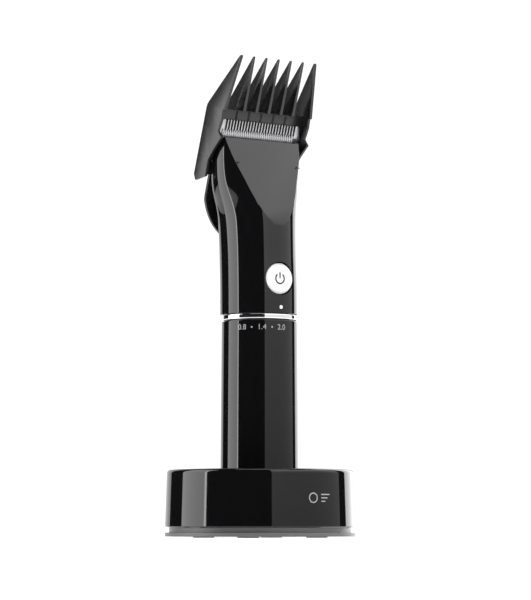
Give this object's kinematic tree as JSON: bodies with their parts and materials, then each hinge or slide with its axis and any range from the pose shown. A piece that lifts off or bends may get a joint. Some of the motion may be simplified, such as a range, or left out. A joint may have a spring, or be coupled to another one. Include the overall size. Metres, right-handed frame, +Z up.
{
  "type": "hair clipper",
  "caption": "Cordless hair clipper with a detachable comb guide, standing upright in a round charging stand; grip turns as a cutting-length dial.",
  "frame": {"origin": "centre of the stand's underside, on the surface it stands on", "axes": "+Z up along the clipper, -Y towards the front with the power button, +X to the right seen from the front"},
  "size_m": [0.0892, 0.0892, 0.224],
  "materials": {
    "black_gloss": "high-gloss black ABS",
    "black_satin": "satin black moulded plastic",
    "stand_grey": "satin grey plastic",
    "chrome": "bright chrome plating",
    "blade_steel": "ground stainless steel",
    "steel": "plain steel",
    "rubber": "black rubber",
    "pcb": "green circuit board",
    "brass": "gold-plated contacts",
    "cell_wrap": "shrink-wrapped cell",
    "white_gloss": "glossy white plastic",
    "nylon": "natural acetal",
    "light_pipe": "translucent light pipe"
  },
  "bodies": {
    "stand": {"stand_shell": "black_gloss", "stand_socket": "black_satin", "stand_base": "stand_grey", "stand_weight": "steel", "stand_feet": "rubber", "stand_screws": "steel", "stand_board": "pcb", "stand_jack": "black_satin"},
    "charge_contacts": {"charge_pins": "brass"},
    "clipper": {"front_housing": "black_gloss", "rear_housing": "black_gloss", "core_tube": "black_satin", "chrome_ring": "chrome", "end_cap": "black_satin", "charge_pads": "brass", "battery_cell": "cell_wrap", "battery_tabs": "steel", "main_board": "pcb", "tact_switch": "steel", "indicator_light": "light_pipe", "motor_can": "steel", "motor_end_cap": "nylon", "motor_bracket": "black_satin", "motor_screws": "steel", "housing_screws": "steel", "blade_mount": "black_satin", "static_blade": "blade_steel", "blade_screws": "steel", "tension_spring": "steel", "detent_spring": "steel"},
    "button": {"power_button": "white_gloss"},
    "dial": {"handle_sleeve": "black_gloss", "dial_cam": "nylon"},
    "adjuster": {"adjust_rod": "nylon"},
    "carriage": {"cutter_carriage": "nylon"},
    "cutter": {"moving_blade": "blade_steel", "drive_yoke": "black_satin"},
    "rotor": {"motor_shaft": "steel", "eccentric_cam": "nylon"},
    "comb": {"comb_guide": "black_satin"}
  },
  "joints": [
    {"name": "clipper_lift", "type": "slide", "parent": "stand", "child": "clipper", "axis": [0, 0, 1], "range_m": [0, 0.06]},
    {"name": "pin_press", "type": "slide", "parent": "stand", "child": "charge_contacts", "axis": [0, 0, -1], "range_m": [0, 0.0008], "stiffness_N_per_m": 300},
    {"name": "button_press", "type": "slide", "parent": "clipper", "child": "button", "axis": [0, 1, 0], "range_m": [0, 0.0008], "stiffness_N_per_m": 1200},
    {"name": "dial_turn", "type": "hinge", "parent": "clipper", "child": "dial", "pos_m": [0, 0, 0.06], "axis": [0, 0, 1], "range_deg": [0, 58]},
    {"name": "rod_rise", "type": "slide", "parent": "clipper", "child": "adjuster", "axis": [0, 0, 1], "range_m": [0, 0.0013], "stiffness_N_per_m": 2, "springref_m": 0.00337},
    {"name": "blade_advance", "type": "slide", "parent": "clipper", "child": "carriage", "axis": [0, -0.342, 0.9397], "range_m": [0, 0.00125], "stiffness_N_per_m": 10, "springref_m": 0.00444},
    {"name": "cutter_stroke", "type": "slide", "parent": "carriage", "child": "cutter", "axis": [1, 0, 0], "range_m": [0, 0.0024]},
    {"name": "motor_spin", "type": "hinge", "parent": "clipper", "child": "rotor", "pos_m": [0, 0.001, 0.145], "axis": [0, 0, 1], "continuous": true},
    {"name": "comb_pull", "type": "slide", "parent": "clipper", "child": "comb", "axis": [0, 0, 1], "range_m": [0, 0.06]}
  ],
  "couplings": [
    {"joint": "rod_rise", "follows": "dial_turn", "m_per_rad": 0.0012615},
    {"joint": "blade_advance", "follows": "dial_turn", "m_per_rad": 0.0011854}
  ]
}
